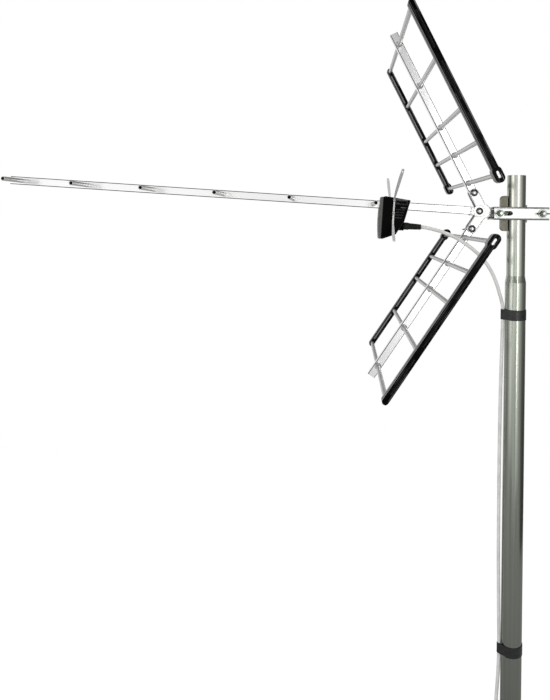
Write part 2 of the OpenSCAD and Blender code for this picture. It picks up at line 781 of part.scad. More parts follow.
// Upright channel between the bracket's tail and the mast, with its edges on the mast
module mast_jaw() {
    corner = 7;
    color(zinc) difference() {
        translate([jaw_x, -jaw_w / 2, clamp_z - jaw_h / 2]) difference() {
            translate([0, jaw_w, 0]) rotate([90, 0, 0]) linear_extrude(jaw_w)
                translate([10, jaw_h / 2]) round_square(20, jaw_h, corner);
            translate([jaw_t, jaw_t, -over]) cube([30, jaw_w - 2 * jaw_t, jaw_h + 2 * over]);
        }
        translate([-mast_top_r, -jaw_w, clamp_z - jaw_h])
            cube([3 * mast_top_r, 2 * jaw_w, 2 * jaw_h]);
        translate([0, 0, clamp_z - jaw_h])
            cylinder(r = mast_top_r + slip, h = 2 * jaw_h, $fn = 96);
    }
}

// Block with a V seat behind the mast, let into the rear channel
module rear_seat() {
    start = jaw_w / 2 + slip;
    flange_y = rear_web_y - channel_depth - slip;
    inner_h = channel_h - 2 * channel_t - 2 * slip;
    block_h = seat_h / 2;
    color(zinc) translate([0, 0, clamp_z]) difference() {
        union() {
            translate([-seat_w / 2, start, -block_h])
                cube([seat_w, flange_y - start, seat_h]);
            translate([-seat_w / 2, start, -inner_h / 2])
                cube([seat_w, rear_web_y - slip - start, inner_h]);
        }
        translate([0, 0, -seat_h]) linear_extrude(2 * seat_h) polygon([
            [0, seat_apex_y], [-2 * seat_w, seat_apex_y - 2 * seat_w],
            [2 * seat_w, seat_apex_y - 2 * seat_w]]);
    }
}

module clamp_bolts() {
    stand = rear_web_y + channel_t + fit;
    length = stand - front_web_y + channel_t + washer_t + nut_h + 3;
    color(zinc) for (x = [left_bolt_x, right_bolt_at])
        translate([x, stand, clamp_z]) mirror([0, 1, 0]) bolt(length);
}

module clamp_washers() {
    color(zinc) for (x = [left_bolt_x, right_bolt_at])
        translate([x, front_web_y - channel_t - fit, clamp_z]) rotate([90, 0, 0])
            difference() {
                cylinder(d = 17, h = washer_t);
                translate([0, 0, -over]) cylinder(r = bolt_hole_r, h = washer_t + 2 * over);
            }
}

module clamp_wing_nuts() {
    face = front_web_y - channel_t - fit - washer_t - fit;
    color(zinc) for (x = [left_bolt_x, right_bolt_at])
        translate([x, face, clamp_z]) wing_nut();
}

mast();
tape(tape_upper_z);  // tape_upper
tape(tape_lower_z);  // tape_lower
boom();
director(1);  // director_1
director(2);  // director_2
director(3);  // director_3
director(4);  // director_4
director(5);  // director_5
director(6);  // director_6
dipole_box();
dipole_lid();
balun_board();
coax_socket();
dipole_half(-1);  // dipole_near
dipole_half(1);  // dipole_far
dipole_screws();
cable_boot();
coax_cable();
coax_plug();
bracket_half(-1);  // bracket_front
bracket_half(1);  // bracket_rear
bracket_bolts();
bracket_wing_nuts();
panel_tube(1);  // panel_tube_upper
panel_tube(-1);  // panel_tube_lower
rod(1, 1);  // upper_rod_1
rod(1, 2);  // upper_rod_2
rod(1, 3);  // upper_rod_3
rod(1, 4);  // upper_rod_4
rod(1, 5);  // upper_rod_5
rod(-1, 1);  // lower_rod_1
rod(-1, 2);  // lower_rod_2
rod(-1, 3);  // lower_rod_3
rod(-1, 4);  // lower_rod_4
rod(-1, 5);  // lower_rod_5
rail(1, -1);  // rail_upper_near
rail(1, 1);  // rail_upper_far
rail(-1, -1);  // rail_lower_near
rail(-1, 1);  // rail_lower_far
clamp_front();
clamp_rear();
mast_jaw();
rear_seat();
clamp_bolts();
clamp_washers();
clamp_wing_nuts();
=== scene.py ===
"""Studio scene of an outdoor television antenna on its mast.

Everything is in metres, in the part's own frame: the origin is the centre of the
mast's foot, +Z runs up the mast, the boom's tip points to -X and +Y is away from
the camera. Tables of places and profiles are in millimetres. Places on the boom are
given by u (from the bracket towards the tip), by Y, and by w (across it, upwards).

The solids of the frame keep their shapes and get materials here. What a solid
leaves plain is built here: the cable with its boot and plug, the wound tape, the
screws and the halves of the dipole, the wing nuts, the bolts' threads, the beads at
the rods, the bands on the rails and the inserts in the box's sides. The bands are
grey as painted sheen and the inserts as painted highlights.
"""
import math

import bmesh
import bpy
from mathutils import Matrix, Vector


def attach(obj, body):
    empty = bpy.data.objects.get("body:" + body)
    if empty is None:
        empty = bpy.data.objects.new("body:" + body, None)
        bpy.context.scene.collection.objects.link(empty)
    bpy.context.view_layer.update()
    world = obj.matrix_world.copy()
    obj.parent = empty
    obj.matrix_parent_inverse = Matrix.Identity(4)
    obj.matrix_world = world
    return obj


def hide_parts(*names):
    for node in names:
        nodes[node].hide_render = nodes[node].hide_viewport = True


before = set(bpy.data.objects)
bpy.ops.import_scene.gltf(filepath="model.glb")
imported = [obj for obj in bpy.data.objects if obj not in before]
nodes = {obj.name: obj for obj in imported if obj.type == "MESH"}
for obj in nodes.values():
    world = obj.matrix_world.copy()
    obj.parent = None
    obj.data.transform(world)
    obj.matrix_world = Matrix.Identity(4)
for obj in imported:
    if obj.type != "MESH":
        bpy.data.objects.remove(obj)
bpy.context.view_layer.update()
MM = 0.001

# ---------------------------------------------------------------- camera
PHOTO_W, PHOTO_H = 550, 700
FOCAL_PX = 674.3                      # focal length in the photo's pixels
CENTRE_PX = (346.0, 219.0)            # where the lens's axis meets the photo
CAMERA_AT = Vector((-0.3355, -1.300, 1.0113))
YAW, PITCH, ROLL = (math.radians(a) for a in (0.31, -0.04, -0.69))
SENSOR = 36.0
CLIP_AT = (0.05, 60)


def make_camera():
    """Camera at the photo's own place, with the photo's crop."""
    forward = Vector((math.sin(YAW) * math.cos(PITCH), math.cos(YAW) * math.cos(PITCH),
                      -math.sin(PITCH)))
    level = Vector((math.cos(YAW), -math.sin(YAW), 0))
    down = forward.cross(level)
    right = math.cos(ROLL) * level + math.sin(ROLL) * down
    down = -math.sin(ROLL) * level + math.cos(ROLL) * down
    data = bpy.data.cameras.new("camera")
    data.sensor_width = SENSOR
    data.lens = FOCAL_PX / PHOTO_H * SENSOR
    data.shift_x = (PHOTO_W / 2 - CENTRE_PX[0]) / PHOTO_H
    data.shift_y = (CENTRE_PX[1] - PHOTO_H / 2) / PHOTO_H
    data.clip_start, data.clip_end = CLIP_AT
    camera = bpy.data.objects.new("camera", data)
    bpy.context.scene.collection.objects.link(camera)
    turn = Matrix((right, -down, -forward)).transposed().to_4x4()
    camera.matrix_world = Matrix.Translation(CAMERA_AT) @ turn
    bpy.context.scene.camera = camera


make_camera()


# ---------------------------------------------------------------- frame of the boom
BOOM_TILT = math.radians(3.1)
PANEL_ANGLE = math.radians(59.5)
BRACKET = Vector((-65.25, 0, 1030)) * MM
# Local frame of the boom: X towards its tip, Z up, and Y towards the far side
BOOM = (Matrix.Translation(BRACKET) @ Matrix.Rotation(BOOM_TILT, 4, "Y")
        @ Matrix.Diagonal((-1, 1, 1, 1)))
PANELS = (("upper", 1), ("lower", -1))   # reflector panels, and the way each one leans


def panel_frame(sign):
    """Local frame of a panel: X outwards along its square tube, Y towards the far side."""
    return BOOM @ Matrix.Rotation(-sign * PANEL_ANGLE, 4, "Y")


# ---------------------------------------------------------------- mesh helpers
BEVEL_FROM = math.radians(35)         # edges sharper than this are bevelled
THREAD_FOOT, THREAD_CREST = 0.42, 0.06   # half widths of a thread's ridge, in pitches


def metres(rows):
    """Rows of millimetres as rows of metres."""
    return [tuple(value * MM for value in row) for row in rows]


def circle(count):
    """Equally spaced angles of a full turn."""
    return [2 * math.pi * k / count for k in range(count)]


def sheath(rows, size, closed=False):
    """Faces that join rows of equally many points, each row to the next."""
    faces = []
    for i in range(rows if closed else rows - 1):
        a, b = i * size, (i + 1) % rows * size
        faces += [(a + k, a + (k + 1) % size, b + (k + 1) % size, b + k)
                  for k in range(size)]
    return faces


def caps(rows, size):
    """Faces that close the first and the last of such rows."""
    return [tuple(reversed(range(size))),
            tuple((rows - 1) * size + k for k in range(size))]


def add_object(name, data, material):
    """Adds a piece that rides on the only body."""
    obj = bpy.data.objects.new(name, data)
    bpy.context.scene.collection.objects.link(obj)
    data.materials.append(material)
    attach(obj, "root")
    return obj


class Builder:
    """Collects points and faces of one piece, in metres."""

    def __init__(self, place=None):
        self.points, self.faces, self.place = [], [], place or Matrix.Identity(4)

    def add(self, points, faces, place=None):
        move = self.place if place is None else self.place @ place
        base = len(self.points)
        self.points += [move @ Vector(p) for p in points]
        self.faces += [[base + i for i in f] for f in faces]

    def lathe(self, profile, sides, place=None, closed=False):
        """Turns (radius, height) pairs about local Z."""
        points = [(r * math.cos(a), r * math.sin(a), h)
                  for r, h in profile for a in circle(sides)]
        faces = sheath(len(profile), sides, closed)
        if not closed:
            faces += caps(len(profile), sides)
        self.add(points, faces, place)

    def box(self, lo, hi, place=None):
        x, y, z = zip(lo, hi)
        points = [(x[i], y[j], z[k]) for k in (0, 1) for j in (0, 1) for i in (0, 1)]
        self.add(points, [(0, 2, 3, 1), (4, 5, 7, 6), (0, 1, 5, 4), (2, 6, 7, 3),
                          (0, 4, 6, 2), (1, 3, 7, 5)], place)

    def thread(self, radius, depth, pitch, start, length, place, sides=24):
        """Helical ridge about local Z, wound on a cylinder of this radius."""
        count = int(length / pitch * sides)
        points, faces = [], []
        for i in range(count + 1):
            a = 2 * math.pi * i / sides
            h = start + pitch * i / sides
            top = radius + depth * min(1.0, i / sides, (count - i) / sides)
            for r, rise in ((radius, -THREAD_FOOT), (top, -THREAD_CREST),
                            (top, THREAD_CREST), (radius, THREAD_FOOT)):
                points.append((r * math.cos(a), r * math.sin(a), h + rise * pitch))
        for i in range(count):
            a, b = 4 * i, 4 * (i + 1)
            faces += [(a + k, b + k, b + (k + 1) % 4, a + (k + 1) % 4) for k in range(4)]
        last = 4 * count
        faces += [(0, 1, 2, 3), (last + 3, last + 2, last + 1, last)]
        self.add(points, faces, place)

    def loft(self, rings, place=None):
        """Joins closed rings of equally many points and closes both ends."""
        rows, size = len(rings), len(rings[0])
        self.add([p for ring in rings for p in ring], sheath(rows, size) + caps(rows, size),
                 place)

    def finish(self, name, material, slot, smooth_below=40, bevel=0.0):
        """Makes the piece, its faces turned outwards and smooth over shallow edges."""
        mesh = bpy.data.meshes.new(name)
        mesh.from_pydata([tuple(p) for p in self.points], [], self.faces)
        mesh.validate()
        shell = bmesh.new()
        shell.from_mesh(mesh)
        bmesh.ops.recalc_face_normals(shell, faces=shell.faces)
        shell.to_mesh(mesh)
        shell.free()
        mesh.update()
        obj = add_object(name, mesh, material)
        if bevel:
            cut = obj.modifiers.new("round", "BEVEL")
            cut.width, cut.segments, cut.limit_method = bevel, 2, "ANGLE"
            cut.angle_limit = BEVEL_FROM
        smooth_shading(mesh, smooth_below)
        return obj


def smooth_shading(mesh, degrees):
    """Smooth shading across edges shallower than this."""
    mesh.shade_smooth()
    mesh.set_sharp_from_angle(angle=math.radians(degrees))


# ---------------------------------------------------------------- materials
def shade(colour, factor, lift=0.0):
    """A colour made darker or paler."""
    return tuple(min(1.0, c * factor + lift) for c in colour)


class Nodes:
    """A new material with a Principled shader, and short ways to add nodes."""

    def __init__(self, name, **shader):
        self.material = bpy.data.materials.new(name)
        self.material.use_nodes = True
        self.tree = self.material.node_tree
        self.shader = self.tree.nodes["Principled BSDF"]
        for key, value in shader.items():
            socket = self.shader.inputs[key.replace("_", " ")]
            socket.default_value = (*value, 1) if isinstance(value, tuple) else value

    def new(self, kind, **settings):
        """Adds a node and sets its properties, or else its inputs of these names."""
        node = self.tree.nodes.new(kind)
        for key, value in settings.items():
            if hasattr(node, key):
                setattr(node, key, value)
            else:
                node.inputs[key.replace("_", " ")].default_value = value
        return node

    def link(self, out, into):
        self.tree.links.new(out, into)

    def coords(self, scale=(1, 1, 1), turn=(0, 0, 0)):
        """Object coordinates, turned and then stretched, so a grain runs along a tube."""
        at = self.new("ShaderNodeTexCoord")
        spin = self.new("ShaderNodeMapping")
        spin.inputs["Rotation"].default_value = turn
        stretch = self.new("ShaderNodeMapping")
        stretch.inputs["Scale"].default_value = scale
        self.link(at.outputs["Object"], spin.inputs["Vector"])
        self.link(spin.outputs["Vector"], stretch.inputs["Vector"])
        return stretch.outputs["Vector"]

    def noise(self, scale, detail, rough=0.5, turn=(0, 0, 0)):
        """Noise by its repeats in a metre: one number, or one for each axis."""
        vector = self.coords(scale if isinstance(scale, tuple) else (scale,) * 3, turn)
        n = self.new("ShaderNodeTexNoise", Scale=1.0, Detail=detail, Roughness=rough)
        self.link(vector, n.inputs["Vector"])
        return n.outputs["Fac"]

    def ramp(self, fac, stops):
        """Colours by (place, colour) pairs."""
        r = self.new("ShaderNodeValToRGB")
        parts = r.color_ramp.elements
        while len(parts) < len(stops):
            parts.new(0.5)
        for part, (at, colour) in zip(parts, stops):
            part.position, part.color = at, (*colour, 1)
        self.link(fac, r.inputs["Fac"])
        return r.outputs["Color"]

    def spread(self, fac, low, high, start=0.3, end=0.7):
        """Stretches the input's range from start to end over low to high."""
        m = self.new("ShaderNodeMapRange")
        for key, value in (("From Min", start), ("From Max", end),
                           ("To Min", low), ("To Max", high)):
            m.inputs[key].default_value = value
        self.link(fac, m.inputs["Value"])
        return m.outputs["Result"]

    def mix(self, fac, a, b):
        """Goes from colour a to colour b as fac goes from 0 to 1."""
        m = self.new("ShaderNodeMix", data_type="RGBA")
        for value, name in ((fac, "Factor_Float"), (a, "A_Color"), (b, "B_Color")):
            socket = next(s for s in m.inputs if s.identifier == name)
            if isinstance(value, tuple):
                socket.default_value = (*value, 1)
            else:
                self.link(value, socket)
        return next(s for s in m.outputs if s.identifier == "Result_Color")

    def worn_edges(self, radius):
        """Normals that round every edge of a solid by this radius, in metres."""
        edge = self.new("ShaderNodeBevel", samples=6, Radius=radius)
        return edge.outputs["Normal"]

    def edge_highlight_mask(self, radius):
        """1 along the edges of a solid, where a painted highlight goes, and 0 elsewhere."""
        rounded = self.new("ShaderNodeBevel", samples=8, Radius=radius)
        flat = self.new("ShaderNodeNewGeometry")
        turn = self.new("ShaderNodeVectorMath", operation="DOT_PRODUCT")
        self.link(rounded.outputs["Normal"], turn.inputs[0])
        self.link(flat.outputs["Normal"], turn.inputs[1])
        return self.spread(turn.outputs["Value"], 1.0, 0.0, 0.84, 0.97)

    def facing_y(self):
        """How squarely a face looks along Y, from 0 to 1."""
        flat = self.new("ShaderNodeNewGeometry")
        axes = self.new("ShaderNodeSeparateXYZ")
        size = self.new("ShaderNodeMath", operation="ABSOLUTE")
        self.link(flat.outputs["Normal"], axes.inputs[0])
        self.link(axes.outputs["Y"], size.inputs[0])
        return size.outputs[0]

    def corner_shade_mask(self):
        """Mask of painted shade: 1 on the round corners of a square tube whose sides lie along
        Y, and 0 else.
        """
        square = self.facing_y()
        rest = self.new("ShaderNodeMath", operation="SUBTRACT")
        rest.inputs[0].default_value = 1.0
        self.link(square, rest.inputs[1])
        both = self.new("ShaderNodeMath", operation="MULTIPLY")
        self.link(square, both.inputs[0])
        self.link(rest.outputs[0], both.inputs[1])
        return self.spread(both.outputs[0], 0.0, 1.0, 0.008, 0.05)

    def hollow_shade_mask(self, distance):
        """Mask for painted shade: 1 on open faces, and less in corners and recesses."""
        sky = self.new("ShaderNodeAmbientOcclusion", samples=8, Distance=distance)
        return self.spread(sky.outputs["AO"], 0.35, 1.0, 0.25, 0.85)

    def bump(self, *layers, normal=None):
        """Each layer is (height, strength, distance in metres)."""
        last = normal
        for height, strength, distance in layers:
            b = self.new("ShaderNodeBump", Strength=strength, Distance=distance)
            self.link(height, b.inputs["Height"])
            if last is not None:
                self.link(last, b.inputs["Normal"])
            last = b.outputs["Normal"]
        self.link(last, self.shader.inputs["Normal"])

    def paint(self, colour, rough):
        self.link(colour, self.shader.inputs["Base Color"])
        self.link(rough, self.shader.inputs["Roughness"])


GRAIN_ACROSS, GRAIN_ALONG = 300.0, 5.0   # repeats of a drawn tube's streaks in a metre


def drawn_metal(name, colour, along, rough, streak, turn=(0, 0, 0), edge=0.0007,
                metallic=1.0, corners=0.0):
    """Drawn aluminium: fine streaks along the tube's axis, and dull patches.

    Edge is the radius of its worn edges, and corners the grey of painted shade on a square
    tube's round corners, whose sides get painted shade as well.
    """
    n = Nodes(name, Metallic=metallic)
    grain = tuple(GRAIN_ALONG if axis == along else GRAIN_ACROSS for axis in range(3))
    streaks = n.noise(grain, 5.0, turn=turn)
    cloud = n.noise(14, 3.0)
    tone = n.ramp(streaks, [(0.3, shade(colour, 1 - streak)),
                            (0.7, shade(colour, 1 + streak))])
    tone = n.mix(n.spread(cloud, 0.0, 0.22, 0.35, 0.75), tone, shade(colour, 0.90))
    swing, relief = 0.04, 0.05
    if corners:
        # painted shade: faces turned away from Y and the round corners are darker
        side_shade_and_sheen = n.spread(n.facing_y(), 1.0, 0.0, 0.2, 0.6)
        tone = n.mix(side_shade_and_sheen, tone, shade(colour, 0.85))
        tone = n.mix(n.corner_shade_mask(), tone, (corners,) * 3)
        swing, relief = 0.012, 0.004
    n.paint(tone, n.spread(streaks, rough - swing, rough + swing))
    n.bump((streaks, relief, 0.00001), normal=n.worn_edges(edge) if edge else None)
    return n.material


ZINC_TONES = [(0.28, (0.40, 0.43, 0.37)), (0.52, (0.50, 0.53, 0.46)),
              (0.75, (0.57, 0.59, 0.53))]
ZINC_PINK, ZINC_FLECK = (0.60, 0.50, 0.47), (0.30, 0.33, 0.28)
ZINC_FOOT_SHADE = (0.155, 0.17, 0.15)       # painted shade: the mast darkens towards this colour at its foot, for darker reflections lower down


def galvanised(name):
    """Zinc plated tube: greenish grey with a faint pink bloom, runs down the mast."""
    n = Nodes(name, Metallic=1.0)
    runs = n.noise((210, 210, 3.2), 5.0)
    bloom = n.noise((38, 38, 4.5), 2.0)
    flecks = n.noise((900, 900, 700), 3.0)
    tone = n.ramp(runs, ZINC_TONES)
    tone = n.mix(n.spread(bloom, 0.0, 0.30, 0.52, 0.72), tone, ZINC_PINK)
    tone = n.mix(n.spread(flecks, 0.0, 0.16, 0.55, 0.75), tone, ZINC_FLECK)
    height = n.new("ShaderNodeSeparateXYZ")
    n.link(n.coords(), height.inputs[0])
    # painted shade: darker towards the foot
    tone = n.mix(n.spread(height.outputs["Z"], 0.40, 1.0, 0.10, 0.88), ZINC_FOOT_SHADE, tone)
    n.paint(tone, n.spread(runs, 0.13, 0.24))
    n.bump((runs, 0.12, 0.00008), (flecks, 0.08, 0.00004))
    return n.material


CAST_TONES = [(0.25, (0.56, 0.57, 0.55)), (0.7, (0.68, 0.68, 0.665))]
# Patches of another tone, and the painted shade that fills hollows
CAST_PATCH, CAST_HOLLOW_SHADE = (0.52, 0.53, 0.50), (0.12, 0.12, 0.11)


def cast_metal(name, sides):
    """Die-cast aluminium: fine pitted skin, with painted shade in hollows and on its sides."""
    n = Nodes(name, Metallic=1.0)
    skin = n.noise(700, 4.0, 0.6)
    cloud = n.noise(55, 3.0)
    tone = n.ramp(skin, CAST_TONES)
    tone = n.mix(n.spread(cloud, 0.0, 0.25, 0.4, 0.75), tone, CAST_PATCH)
    # painted shade in hollows, and on the sides that face away from Y
    tone = n.mix(n.hollow_shade_mask(0.004), CAST_HOLLOW_SHADE, tone)
    tone = n.mix(n.spread(n.facing_y(), 0.0, 1.0, 0.45, 0.90),
                 (sides, sides, sides * 0.97), tone)
    n.paint(tone, n.spread(skin, 0.28, 0.40))
    n.bump((skin, 0.30, 0.00008), normal=n.worn_edges(0.0009))
    return n.material


def plated_steel(name, colour, rough, painted_dark_rim=False):
    """Zinc plated fasteners: clear colour with darker stains and painted shade in hollows; a
    domed head has a painted dark rim.
    """
    n = Nodes(name, Metallic=1.0)
    stain = n.noise(160, 4.0)
    fine = n.noise(1300, 3.0)
    tone = n.ramp(stain, [(0.3, shade(colour, 0.72)), (0.65, colour)])
    # painted shade in hollows
    tone = n.mix(n.hollow_shade_mask(0.003), shade(colour, 0.2), tone)
    # painted shade: a dark rim where the dome turns away from Y
    if painted_dark_rim:
        tone = n.mix(n.spread(n.facing_y(), 0.0, 1.0, 0.89, 0.975), shade(colour, 0.16), tone)
    n.paint(tone, n.spread(fine, rough - 0.05, rough + 0.1))
    n.bump((fine, 0.15, 0.00003), normal=n.worn_edges(0.0005))
    return n.material


def rail_highlight_lines(n, tone, sign, highlight_lines):
    """Faint painted highlight lines along a rail's outer faces: (place across it, half width,
    grey).
    """
    panel = panel_frame(sign).inverted()
    across = n.new("ShaderNodeVectorMath", operation="DOT_PRODUCT")
    across.inputs[1].default_value = panel[2][:3]
    n.link(n.coords(), across.inputs[0])
    gaps = n.spread(n.noise(17, 2.0), 0.0, 1.0, 0.46, 0.54)
    for place, half, grey in highlight_lines:
        inside = n.new("ShaderNodeMath", operation="COMPARE")
        inside.inputs[1].default_value = place * MM - panel[2][3]
        inside.inputs[2].default_value = half * MM
        n.link(across.outputs["Value"], inside.inputs[0])
        seen = n.new("ShaderNodeMath", operation="MULTIPLY")
        n.link(inside.outputs[0], seen.inputs[0])
        n.link(gaps, seen.inputs[1])
        tone = n.mix(seen.outputs[0], tone, (grey,) * 3)
    return tone


def moulded(name, colour, rough, grain, edge=0.0008, edge_highlight=0.0, gloss=0.03, side_sheen=0.0,
            highlight_lines=None):
    """Moulded plastic: fine spark-eroded grain, faint flow marks and dust.

    Its edges can get a painted highlight of one grey and its faces seen from the side a painted
    sheen of another; a rail can get painted highlight lines along its faces.
    """
    n = Nodes(name, IOR=1.5, Specular_IOR_Level=gloss)
    fine = n.noise(1500, 3.0, 0.6)
    marks = n.noise(60, 3.0)
    tone = n.mix(n.spread(marks, 0.0, 1.0, 0.45, 0.8), colour, shade(colour, 1.35, 0.002))
    # painted highlight along the edges
    if edge_highlight:
        tone = n.mix(n.edge_highlight_mask(edge), tone, (edge_highlight,) * 3)
    # painted sheen on faces seen from the side
    if side_sheen:
        side_shade_and_sheen = n.new("ShaderNodeLayerWeight", Blend=0.5)
        tone = n.mix(n.spread(side_shade_and_sheen.outputs["Facing"], 0.0, 1.0, 0.55, 0.80), tone,
                     (side_sheen,) * 3)
    # painted highlight lines along the rails
    if highlight_lines:
        tone = rail_highlight_lines(n, tone, *highlight_lines)
    n.paint(tone, n.spread(marks, rough - 0.06, rough + 0.10))
    n.bump((fine, grain, 0.00004), (marks, 0.06, 0.0002), normal=n.worn_edges(edge))
    return n.material


TAPE_TONES = [(0.35, (0.010, 0.010, 0.010)), (0.75, (0.024, 0.024, 0.023))]
JACKET_TONES = [(0.32, (0.73, 0.73, 0.70)), (0.62, (0.87, 0.87, 0.855))]
BOARD_TONES = [(0.49, (0.02, 0.14, 0.05)), (0.51, (0.03, 0.24, 0.09))]


def wound_tape(name):
    """Vinyl tape: glossy black film, stretched along its turns."""
    n = Nodes(name, IOR=1.5)
    pull = n.noise((60, 60, 900), 4.0)
    crease = n.noise((140, 140, 260), 3.0)
    tone = n.ramp(crease, TAPE_TONES)
    n.paint(tone, n.spread(pull, 0.24, 0.42))
    n.bump((crease, 0.30, 0.00018), (pull, 0.15, 0.00005))
    return n.material


def jacket(name):
    """PVC cable jacket: warm white, slightly waxy, with handling marks."""
    n = Nodes(name, IOR=1.5, Specular_IOR_Level=0.45)
    handled = n.noise(45, 4.0)
    fine = n.noise(800, 2.0)
    tone = n.ramp(handled, JACKET_TONES)
    n.paint(tone, n.spread(handled, 0.30, 0.42))
    n.bump((fine, 0.10, 0.00003), (handled, 0.05, 0.0002))
    return n.material


def circuit_board(name):
    """Green board with copper tracks under its lacquer."""
    n = Nodes(name, IOR=1.5)
    tracks = n.noise(260, 1.0)
    tone = n.ramp(tracks, BOARD_TONES)
    n.paint(tone, n.spread(tracks, 0.3, 0.45))
    n.bump((tracks, 0.3, 0.0001))
    return n.material


ALUMINIUM = (0.90, 0.90, 0.895)
ROD_GREY = (0.70, 0.705, 0.69)
BLACK = (0.001, 0.001, 0.001)
ALONG_X, ALONG_Y, ALONG_Z = 0, 1, 2

MATERIALS = {
    "galvanised": galvanised("galvanised"),
    "tape": wound_tape("tape"),
    "boom_alloy": drawn_metal("boom_alloy", ALUMINIUM, ALONG_X, 0.19, 0.02,
                              (0, -BOOM_TILT, 0), edge=0.0, corners=0.03),
    "alloy": drawn_metal("alloy", ROD_GREY, ALONG_Y, 0.42, 0.03),
    "strip_alloy": drawn_metal("strip_alloy", (0.70, 0.70, 0.675), ALONG_Z, 0.42, 0.05,
                               edge=0.0, metallic=0.12),
    "olive_zinc": plated_steel("olive_zinc", (0.115, 0.11, 0.085), 0.30),
    # the last number is the grey of painted shade on the sides
    "cast_alloy": cast_metal("cast_alloy", 0.42),
    "clamp_alloy": cast_metal("clamp_alloy", 0.22),
    "zinc_steel": plated_steel("zinc_steel", (0.46, 0.49, 0.45), 0.26),
    # painted sheen: the grey of the rails' bands
    "rail_sheen": moulded("rail_sheen", (0.16, 0.163, 0.155), 0.30, 0.06, gloss=0.3),
    # painted highlight: the grey of the box's inserts
    "clip_highlight_grey": moulded("clip_highlight_grey", (0.11, 0.113, 0.108), 0.34, 0.10, gloss=0.3),
    "box_plastic": moulded("box_plastic", BLACK, 0.38, 0.20, edge=0.0009, edge_highlight=0.13),
    "lid_plastic": moulded("lid_plastic", (0.125, 0.129, 0.122), 0.44, 0.20),
    "boot_rubber": moulded("boot_rubber", (0.022, 0.027, 0.022), 0.46, 0.30),
    "cable_jacket": jacket("cable_jacket"),
    "bolt_steel": plated_steel("bolt_steel", (0.74, 0.78, 0.75), 0.20, painted_dark_rim=True),
    "plug_metal": plated_steel("plug_metal", (0.66, 0.66, 0.64), 0.22),
    "socket_brass": plated_steel("socket_brass", (0.66, 0.56, 0.36), 0.28),
    "board": circuit_board("board"),
}
# Painted highlight lines of each panel's rails: place across the rail, half width, grey
RAIL_HIGHLIGHT_LINES = {"upper": ((-3.4, 0.45, 0.07), (4.1, 0.6, 0.17)),
              "lower": ((3.2, 0.4, 0.07), (-3.6, 0.45, 0.11))}
RAIL_PLASTIC = {side: moulded("rail_plastic_" + side, BLACK, 0.24, 0.06, edge=0.0009,
                              edge_highlight=0.05, side_sheen=0.24, highlight_lines=(sign, RAIL_HIGHLIGHT_LINES[side]))
                for side, sign in PANELS}
PANEL_ALLOY = {side: drawn_metal("panel_alloy_" + side, (0.86, 0.86, 0.86), ALONG_X, 0.19, 0.02,
                                 (0, -BOOM_TILT - sign * PANEL_ANGLE, 0), edge=0.0,
                                 corners=0.05)
               for side, sign in PANELS}

NODE_LOOKS = {
    "mast": "galvanised", "mast_jaw": "olive_zinc", "rear_seat": "olive_zinc",
    "boom": "boom_alloy", "dipole_near": "strip_alloy", "dipole_far": "strip_alloy",
    "dipole_box": "box_plastic", "dipole_lid": "lid_plastic", "balun_board": "board",
    "coax_socket": "socket_brass", "bracket_front": "cast_alloy",
    "bracket_rear": "cast_alloy", "clamp_front": "clamp_alloy",
    "clamp_rear": "clamp_alloy", "bracket_bolts": "bolt_steel",
    "bracket_wing_nuts": "zinc_steel", "clamp_bolts": "zinc_steel",
    "clamp_washers": "zinc_steel", "clamp_wing_nuts": "zinc_steel",
}
NODE_LOOKS.update({f"director_{i}": "alloy" for i in range(1, 7)})
NODE_LOOKS.update({f"{side}_rod_{i}": "alloy" for side, _ in PANELS for i in range(1, 6)})


def dress(node, material):
    """Gives a solid its material."""
    mesh = nodes[node].data
    mesh.materials.clear()
    mesh.materials.append(material)
    smooth_shading(mesh, 32)


for node, look in NODE_LOOKS.items():
    dress(node, MATERIALS[look])
for side, _ in PANELS:
    dress("panel_tube_" + side, PANEL_ALLOY[side])
    for end in ("near", "far"):
        dress(f"rail_{side}_{end}", RAIL_PLASTIC[side])


# ---------------------------------------------------------------- places on the part
BOX_FACE = 25.0                       # half the width of the dipole box
STRIP_FACE = 26.8                     # outer face of a dipole strip from the boom's line
MAST_R = 20.0
CLAMP_Z = 1026.5
ROD_PLACES = (61.0, 121.0, 180.5, 270.0, 359.0)   # along a panel's square tube
PANEL_FACE = 7.5                      # half the width of that tube
RAIL_INNER_Y = 236.0                  # inner face of the rails from the boom's line

# ---------------------------------------------------------------- cable
CABLE_D = 6.8
# Middle of the cable from the boot to the plug
CABLE_POINTS = [
    (-196, 0, 999), (-184, 0, 998.4), (-170, -2, 996.5), (-150, -6, 991.5),
    (-130, -11, 984.5), (-109, -13, 974), (-91, -12.5, 961.5), (-75, -10, 948.5),
    (-58, -6.5, 930), (-46, -4, 911.5), (-36.5, -2, 890), (-31, -1, 873), (-27, 0, 860),
    (-24.4, 0, 849), (-23.8, 0, 838), (-23.8, 0, 820), (-24.4, 0, 785), (-25.8, 0, 720),
    (-26.8, 0, 640), (-27.2, 0, 550), (-27.2, 0, 460), (-26.6, 0, 370), (-25.4, 0, 290),
    (-24.2, 0, 225), (-23.8, 0, 200), (-23.8, 0, 180), (-24.4, 0, 150), (-26, 0, 120),
    (-27.6, 0, 95), (-28, 0, 80)]
TAPED_AT = 23.8                       # distance of the taped cable from the mast's axis


